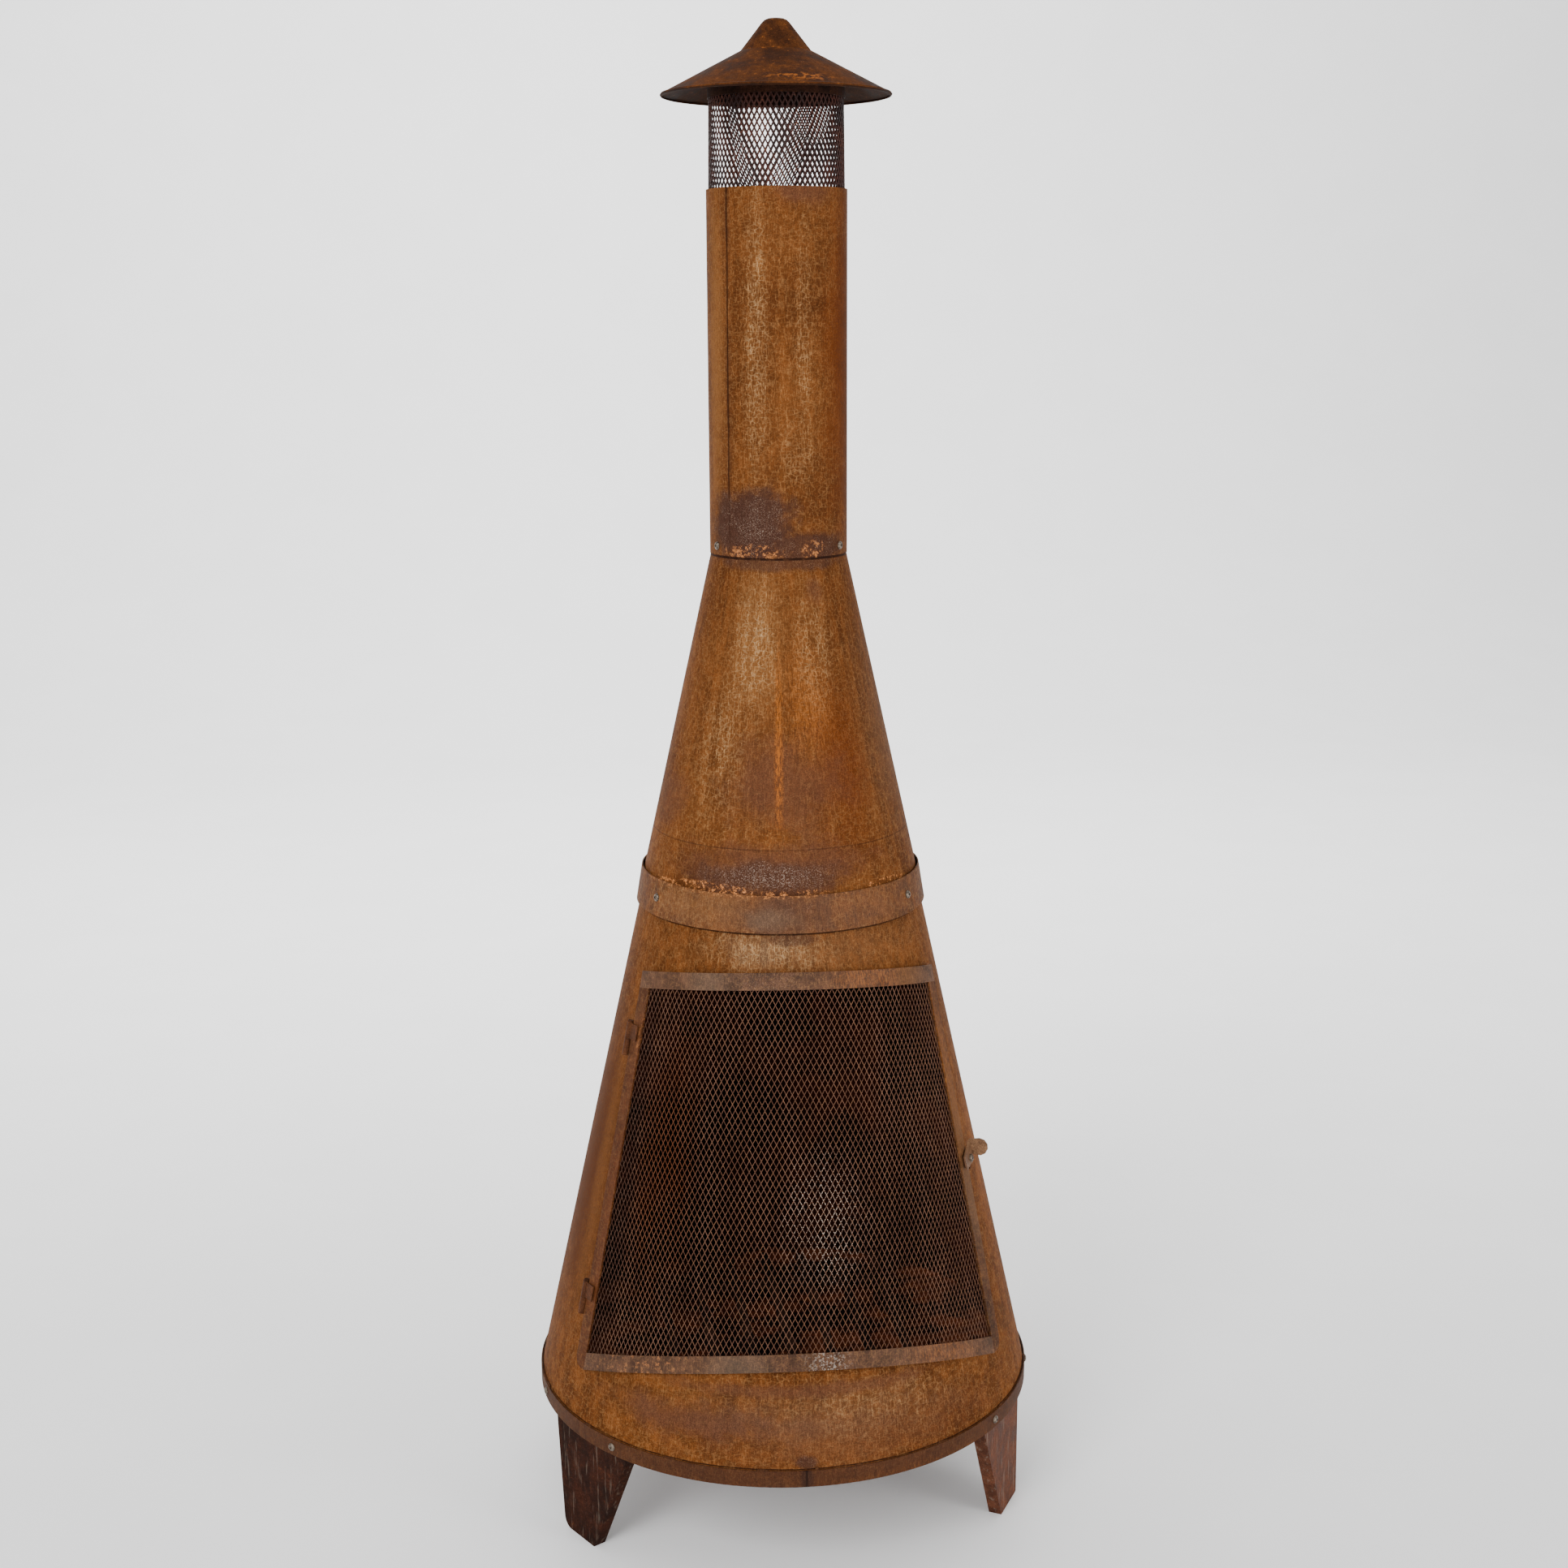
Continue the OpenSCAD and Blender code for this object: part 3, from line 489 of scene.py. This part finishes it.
# Near black: dark scale with painted shade under the cap, also on the spark mesh's foot ring and
# the cap's rest lugs.
collar_shade_steel = dark_scale("collar_scale_and_shade", (0.012, 0.0050, 0.0030), (0.030, 0.0110, 0.0060), 0.1,
                          0.05, rough=0.75, shine=0.06)
top_strip_steel = rusted_sheet(
    "top_strip_rust", 0.18,
    zones=[("sheen", 0.70, 0.10, -34, 12, 0.35), ("orange", 0.70, 0.10, 26, 24, 0.35),
           ("glint", 0.70, 0.10, -12, 24, 0.06), ("tan", 0.70, 0.10, 44, 12, 0.4)],
    tones=STRIP_TONES, dash_share=0.15, shine=0.15, uneven=0.32)
bottom_strip_steel = rusted_sheet(
    "bottom_strip_rust", 0.28,
    zones=[("sheen", 0.26, 0.14, -18, 12, 0.35), ("flecks", 0.26, 0.14, -42, 20, 0.42),
           ("glare", 0.26, 0.14, 3, 8, 0.26), ("orange", 0.26, 0.14, 34, 16, 0.25)],
    tones=STRIP_TONES, dash_share=0.15, shine=0.15, uneven=0.34)
side_strip_steel = rusted_sheet(
    "side_strip_rust", 0.23,
    zones=[("tan", 0.50, 0.22, 57, 12, 0.45), ("sheen", 0.42, 0.12, 58, 12, 0.2),
           ("orange", 0.60, 0.12, 57, 10, 0.25), ("red", 0.45, 0.36, -60, 9, 0.35),
           ("flecks", 0.62, 0.05, -60, 8, 0.4)],
    tones=SIDE_TONES, dash_share=0.15, shine=0.08, uneven=0.30)
small_steel = dark_scale("small_scale", (0.032, 0.0110, 0.0050), (0.065, 0.0230, 0.0090), 0.3, 0.2,
                         shine=0.06)
hinge_steel = dark_scale("hinge_scale", (0.050, 0.0175, 0.0075), (0.082, 0.0290, 0.0110),
                         0.15, 0.15, shine=0.06)
latch_steel = dark_scale("latch_scale", (0.100, 0.0480, 0.0240), (0.170, 0.0880, 0.0440), 0.2, 0.2)
leg_steel = dark_scale("leg_scale", (0.0145, 0.0046, 0.0024), (0.034, 0.0110, 0.0058), 0.12, 0.15,
                       shine=0.02, streaks=0.26)
worn_leg_steel = dark_scale("worn_leg_scale", (0.053, 0.0170, 0.0080), (0.106, 0.0370, 0.0185),
                            0.15, 0.25, shine=0.05, streaks=0.45)
# Its glint zone paints highlights on the strands.
mesh_steel = rusted_sheet(
    "mesh_rust", 0.22,
    zones=[("glint", 0.44, 0.10, 4, 16, 0.9), ("red", 0.50, 0.20, -44, 16, 0.5),
           ("dark", 0.45, 0.36, -60, 9, 0.8)],
    tones=((0.068, 0.0300, 0.0195), (0.100, 0.0470, 0.0300), (0.138, 0.0710, 0.0475)),
    dash_share=0.15, shine=0.05)
cap_mesh_steel = dark_scale("cap_mesh_scale", (0.016, 0.0060, 0.0050), (0.045, 0.0130, 0.0080),
                            0.2, 0.1)
screw_steel = weathered_screw("screw_steel")
grate_iron = sooty_iron("grate_iron", (0.030, 0.0130, 0.0070))
pan_iron = sooty_iron("pan_iron", (0.150, 0.0380, 0.0140))

FINISH = {
    "rain_cap": cap_steel, "flue_pipe": pipe_steel, "upper_cone": upper_steel,
    "mid_band": band_steel, "lower_cone": lower_steel, "base_ring": ring_steel,
    "leg_front_left": leg_steel, "leg_front_right": worn_leg_steel, "leg_rear": leg_steel,
    "door_top_strip": top_strip_steel, "door_bottom_strip": bottom_strip_steel,
    "door_left_strip": side_strip_steel, "door_right_strip": side_strip_steel,
    "cap_collar": collar_shade_steel, "mesh_foot_ring": collar_shade_steel, "cap_rest_lugs": collar_shade_steel,
    "latch_lever": latch_steel, "log_grate_bars": grate_iron, "log_grate_rails": grate_iron,
    "fire_pan": pan_iron,
    "flue_screws": screw_steel, "flue_nuts": screw_steel, "band_screws": screw_steel,
    "band_nuts": screw_steel, "leg_screws": screw_steel, "leg_nuts": screw_steel,
    "hinge_pins": small_steel, "hinge_body_leaves": hinge_steel,
    "hinge_door_leaves": hinge_steel, "latch_screw": screw_steel, "latch_nut": screw_steel,
}
for name, node in nodes.items():
    finish = FINISH.get(name, small_steel)
    node.data.materials.clear()
    node.data.materials.append(finish)

# ---------------------------------------------------------------- mesh helpers


def new_piece(name, verts, faces, material, body, smooth=False):
    """Mesh object that rides on a body and takes its finish from a slot."""
    data = bpy.data.meshes.new(name)
    data.from_pydata([tuple(v) for v in verts], [], faces)
    data.update()
    if smooth:
        data.shade_smooth()
    data.materials.append(material)
    piece = bpy.data.objects.new(name, data)
    bpy.context.scene.collection.objects.link(piece)
    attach(piece, body)
    return piece


def expanded_metal(wanted, width, height, strand, thick, raise_by, place, wrap=0, seed=1,
                   mirrored=False):
    """Vertices and faces of expanded metal: diamond cells whose strands tilt.

    wanted lists the lattice places (i, j) of the cells, at i half-widths and j
    half-heights. strand is the strands' width, thick the sheet's thickness, and raise_by is
    how far their inner edges tilt out of it. place(x, y, n) puts a flat point, raised by n,
    where it belongs, and mirrored says that seen from outside it turns y downwards. wrap is
    the number of half-widths after which the sheet meets itself."""
    draw = random.Random(seed)
    slant = math.hypot(width, height)
    inner_x = width / 2 - strand * slant / height / 2
    inner_y = height / 2 - strand * slant / width / 2
    verts, faces, corner = [], [], {}
    edges = {}  # used as a set that keeps its order

    def add(x, y, n):
        verts.append(place(x, y, n - thick / 2))
        verts.append(place(x, y, n + thick / 2))
        return len(verts) - 2

    def knot(i, j):
        key = (i % wrap if wrap else i, j)
        if key not in corner:
            shift = 0.06 * strand
            corner[key] = add(key[0] * width / 2 + draw.uniform(-shift, shift),
                              j * height / 2 + draw.uniform(-shift, shift), 0.0)
        return corner[key]

    for i, j in wanted:
        x, y = i * width / 2, j * height / 2
        outer = [knot(i + 1, j), knot(i, j + 1), knot(i - 1, j), knot(i, j - 1)]
        inner = [add(x + inner_x, y, 0.0), add(x, y + inner_y, raise_by),
                 add(x - inner_x, y, 0.0), add(x, y - inner_y, -raise_by)]
        for k in range(4):
            a, b = outer[k], outer[(k + 1) % 4]
            c, d = inner[(k + 1) % 4], inner[k]
            faces.append((a + 1, b + 1, c + 1, d + 1))
            faces.append((a, d, c, b))
            faces.append((d + 1, c + 1, c, d))
            edges[(a, b)] = True
    for a, b in edges:
        if (b, a) not in edges:
            faces.append((a, b, b + 1, a + 1))
    if mirrored:
        faces = [face[::-1] for face in faces]
    return verts, faces


# ---------------------------------------------------------------- door mesh

DOOR_CELL = (6.86 * MM, 12.7 * MM)
DOOR_STRAND = 0.76 * MM
DOOR_THICK = 0.35 * MM
DOOR_RAISE = 0.12 * MM
MESH_PROUD = 3.6 * MM  # middle surface of the mesh, outside the cone's outer face
MID_PHI = -12.5  # angle of the door's middle line
CELL_SIDEWAYS = 100  # enough half-widths to either side to pass the door's edge
CELL_OFF = 0.6 * MM  # farthest that the middle of a kept cell lies from the mesh node
SIN_LEAN = math.sin(CONE_LEAN)
door_low, door_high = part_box("door_mesh")


def on_cone(x, y, n):
    """Point of the door's flat pattern, wrapped on the cone: x across, y down from the
    cone's tip along the middle line, n above the mesh's middle surface."""
    reach = math.hypot(x, y)
    phi = MID_PHI + math.degrees(math.atan2(x, y)) / SIN_LEAN
    radius = reach * SIN_LEAN
    z = RING_TOP + (FOOT_R + MESH_PROUD - radius) / CONE_SLOPE
    out = around(radius + n * math.cos(CONE_LEAN), phi, z)
    out.z += n * SIN_LEAN
    return out


def pattern_y(z):
    """Distance from the cone's tip of a height on the middle line."""
    return (cone_radius(z) + MESH_PROUD) / SIN_LEAN


door_sheet = BVHTree.FromPolygons(
    [v.co for v in nodes["door_mesh"].data.vertices],
    [p.vertices for p in nodes["door_mesh"].data.polygons])


def door_cells():
    """Lattice places of the cells whose middles lie in the door's mesh."""
    width, height = DOOR_CELL
    first = int(pattern_y(door_high[2]) / (height / 2))
    last = int(pattern_y(door_low[2]) / (height / 2)) + 1
    for j in range(first, last):
        for i in range(-CELL_SIDEWAYS, CELL_SIDEWAYS + 1):
            if (i + j) % 2:
                continue
            middle = on_cone(i * width / 2, j * height / 2, 0.0)
            if door_sheet.find_nearest(middle)[3] < CELL_OFF:
                yield i, j


verts, faces = expanded_metal(
    door_cells(), *DOOR_CELL, DOOR_STRAND, DOOR_THICK, DOOR_RAISE, on_cone, mirrored=True)
door_mesh = new_piece("door_expanded_mesh", verts, faces, mesh_steel, "door")
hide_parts("door_mesh")

# ---------------------------------------------------------------- spark mesh

spark_low, spark_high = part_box("spark_mesh")
SPARK_THICK = 0.7 * MM
SPARK_STRAND = 1.7 * MM
SPARK_RAISE = 0.1 * MM
SPARK_TAPER = 2.0 * MM  # loss of the tube's radius from its foot to its top
SPARK_LOW_R = spark_high[0] - 0.4 * MM  # middle surface at its foot
SPARK_TALL = spark_high[2] - spark_low[2]
SPARK_CELLS = 76
SPARK_ROWS = 26
SPARK_W = 2 * math.pi * SPARK_LOW_R / SPARK_CELLS
SPARK_H = 2 * SPARK_TALL / (SPARK_ROWS + 1)


def on_flue(x, y, n):
    """Point of the spark mesh's flat pattern, rolled into its slightly tapered tube."""
    radius = SPARK_LOW_R - SPARK_TAPER * y / SPARK_TALL + n
    return around(radius, math.degrees(x / SPARK_LOW_R), spark_low[2] + y)


spark_cells = [
    (i, j) for j in range(1, SPARK_ROWS + 1) for i in range(2 * SPARK_CELLS) if (i + j) % 2 == 0]
verts, faces = expanded_metal(
    spark_cells, SPARK_W, SPARK_H, SPARK_STRAND, SPARK_THICK, SPARK_RAISE, on_flue,
    wrap=2 * SPARK_CELLS, seed=2)
spark = new_piece("spark_expanded_mesh", verts, faces, cap_mesh_steel, "cap")
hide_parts("spark_mesh")

# ---------------------------------------------------------------- welds and seams

BEAD_SIDES = 8
BEAD_FLATNESS = 0.62  # height of a bead's section by its width
BEAD_POINTS = 13
RING_BEADS = 16


def bead_mesh(beads, seed):
    """Rippled weld beads. Each bead is a list of points, an outward side and a radius."""
    draw = random.Random(seed)
    verts, faces = [], []
    for points, side, radius in beads:
        start = len(verts)
        count = len(points)
        for k, point in enumerate(points):
            ahead = points[min(k + 1, count - 1)] - points[max(k - 1, 0)]
            across = ahead.cross(side).normalized()
            up = side.normalized()
            swell = math.sin(math.pi * (k + 0.6) / (count + 0.2)) ** 0.5
            swell *= radius * (1.0 + 0.16 * math.sin(2.4 * k) + draw.uniform(-0.08, 0.08))
            for m in range(BEAD_SIDES):
                a = 2 * math.pi * m / BEAD_SIDES
                verts.append(point + across * (swell * math.cos(a)) + up * (
                    BEAD_FLATNESS * swell * math.sin(a)))
        for k in range(count - 1):
            for m in range(BEAD_SIDES):
                n = (m + 1) % BEAD_SIDES
                ring = start + BEAD_SIDES * k
                next_ring = ring + BEAD_SIDES
                faces.append((ring + m, next_ring + m, next_ring + n, ring + n))
        last = start + BEAD_SIDES * (count - 1)
        faces.append(tuple(range(start, start + BEAD_SIDES)))
        faces.append(tuple(range(last + BEAD_SIDES - 1, last - 1, -1)))
    return verts, faces


def ring_beads():
    """Short beads that bridge the slit between the cone's foot and the ring, and one that
    crosses it at the front."""
    draw = random.Random(7)
    for k in range(RING_BEADS):
        middle = 360 / RING_BEADS * k + 10 + draw.uniform(-3, 3)
        half = draw.uniform(0.9, 1.6)
        reach = (BEAD_POINTS - 1) / 2
        points = [around(RING_R - 2.2 * MM, middle + half * (t / reach - 1), RING_TOP - 0.2 * MM)
                  for t in range(BEAD_POINTS)]
        side = around(0.75, middle, 0.65)
        yield points, side, draw.uniform(1.5, 2.1) * MM
    points = [around(RING_R - 2.0 * MM, -0.4 + 0.05 * t, RING_TOP + 3.2 * MM - 1.3 * MM * t)
              for t in range(7)]
    yield points, around(1.0, 0, 0.1), 2.2 * MM


verts, faces = bead_mesh(list(ring_beads()), 11)
new_piece("ring_weld_beads", verts, faces, ring_steel, "chiminea_body", smooth=True)

LAP_WIDE = 10.0  # degrees from the lapped edge to where the step has faded out
LAP_THICK = 0.35 * MM
LAP_SUNK = 0.3 * MM  # depth of the hidden side in the wall


def lap_sheet(across=6, up=24):
    """Thin sheet that hugs the flue, thickest at its lapped edge and feathered behind it."""
    verts, faces = [], []
    for i in range(across + 1):
        share = i / across
        phi = LAP_PHI - LAP_WIDE * share
        proud = LAP_THICK * (1.0 - 0.9 * share ** 3)
        for k in range(up + 1):
            z = PIPE_LOW + (PIPE_TOP - PIPE_LOW) * k / up
            verts.append(around(PIPE_R - LAP_SUNK, phi, z))
            verts.append(around(PIPE_R + proud, phi, z))
    row = 2 * (up + 1)
    for i in range(across):
        for k in range(up):
            base = i * row + 2 * k
            faces.append((base + 1, base + 3, base + row + 3, base + row + 1))
            faces.append((base, base + row, base + row + 2, base + 2))
    for k in range(up):
        base = 2 * k
        faces.append((base, base + 2, base + 3, base + 1))
        base += across * row
        faces.append((base + 1, base + 3, base + 2, base))
    for i in range(across):
        base = i * row
        faces.append((base, base + 1, base + row + 1, base + row))
        base += 2 * up
        faces.append((base + row, base + row + 1, base + 1, base))
    return verts, faces


verts, faces = lap_sheet()
new_piece("flue_lap_seam", verts, faces, pipe_steel, "chiminea_body")

# ---------------------------------------------------------------- camera, light and floor

VIEW_PHI = -7.5
VIEW_DISTANCE = 2.534
VIEW_HEIGHT = 1.4508
VIEW_DOWN = 12.22  # degrees below level
VIEW_ASIDE = 0.114  # degrees from the axis of the object
VIEW_ROLL = 0.29
VIEW_LENS = 49.43
camera_data = bpy.data.cameras.new("camera")
camera_data.sensor_width = 36.0
camera_data.lens = VIEW_LENS
camera = bpy.data.objects.new("camera", camera_data)
camera.location = around(VIEW_DISTANCE, VIEW_PHI, VIEW_HEIGHT)
camera.rotation_mode = "XYZ"
look = Euler((math.radians(90 - VIEW_DOWN), 0.0, math.radians(VIEW_PHI - VIEW_ASIDE)), "XYZ")
spin = Euler((0.0, 0.0, math.radians(-VIEW_ROLL)))
camera.rotation_euler = (look.to_matrix() @ spin.to_matrix()).to_euler()
bpy.context.scene.collection.objects.link(camera)
bpy.context.scene.camera = camera

FLOOR_TONE = 0.92


def floor_material():
    """Pale matt paper with a barely seen change of tone."""
    g = Graph("pale_floor")
    tone = g.noise(g.place, 3.0, 2.0)
    g.feed(g.mix(g.span(tone, 0.4, 0.6), (FLOOR_TONE,) * 3, (0.985 * FLOOR_TONE,) * 3),
           g.shader.inputs["Base Color"])
    g.shader.inputs["Roughness"].default_value = 0.6
    return g.material


def add_floor():
    """Plain floor that curves up into a backdrop far behind the object."""
    reach, back, height, bend = 9.0, 7.0, 7.0, 2.5
    steps = 12
    profile = [(-reach, 0.0), (back - bend, 0.0)]
    for k in range(1, steps + 1):
        a = math.pi / 2 * k / steps
        profile.append((back - bend + bend * math.sin(a), bend - bend * math.cos(a)))
    profile.append((back, height))
    verts = [(x, y, z) for x in (-reach, reach) for y, z in profile]
    n = len(profile)
    faces = [(k, n + k, n + k + 1, k + 1) for k in range(n - 1)]
    data = bpy.data.meshes.new("floor")
    data.from_pydata(verts, [], faces)
    data.shade_smooth()
    data.materials.append(floor_material())
    floor = bpy.data.objects.new("floor", data)
    bpy.context.scene.collection.objects.link(floor)


add_floor()


def add_light(name, place, target, size, power):
    """White area light that faces a point."""
    data = bpy.data.lights.new(name, "AREA")
    data.shape = "RECTANGLE"
    data.size, data.size_y = size
    data.energy = power
    light = bpy.data.objects.new(name, data)
    light.location = place
    light.rotation_euler = (Vector(target) - Vector(place)).to_track_quat("-Z", "Y").to_euler()
    bpy.context.scene.collection.objects.link(light)


MIDDLE = (0.0, 0.0, 0.9)
add_light("key", (-2.2, -3.2, 2.9), MIDDLE, (1.6, 2.4), 170)
add_light("fill", (3.0, -2.8, 1.2), MIDDLE, (1.6, 2.0), 80)
add_light("backdrop", (0.0, 2.2, 3.8), (0, 6.5, 0.4), (5.0, 2.5), 420)
world = bpy.data.worlds.new("studio")
bpy.context.scene.world = world
world.use_nodes = True
sky = world.node_tree.nodes["Background"]
sky.inputs["Color"].default_value = (1, 1, 1, 1)
sky.inputs["Strength"].default_value = 0.9
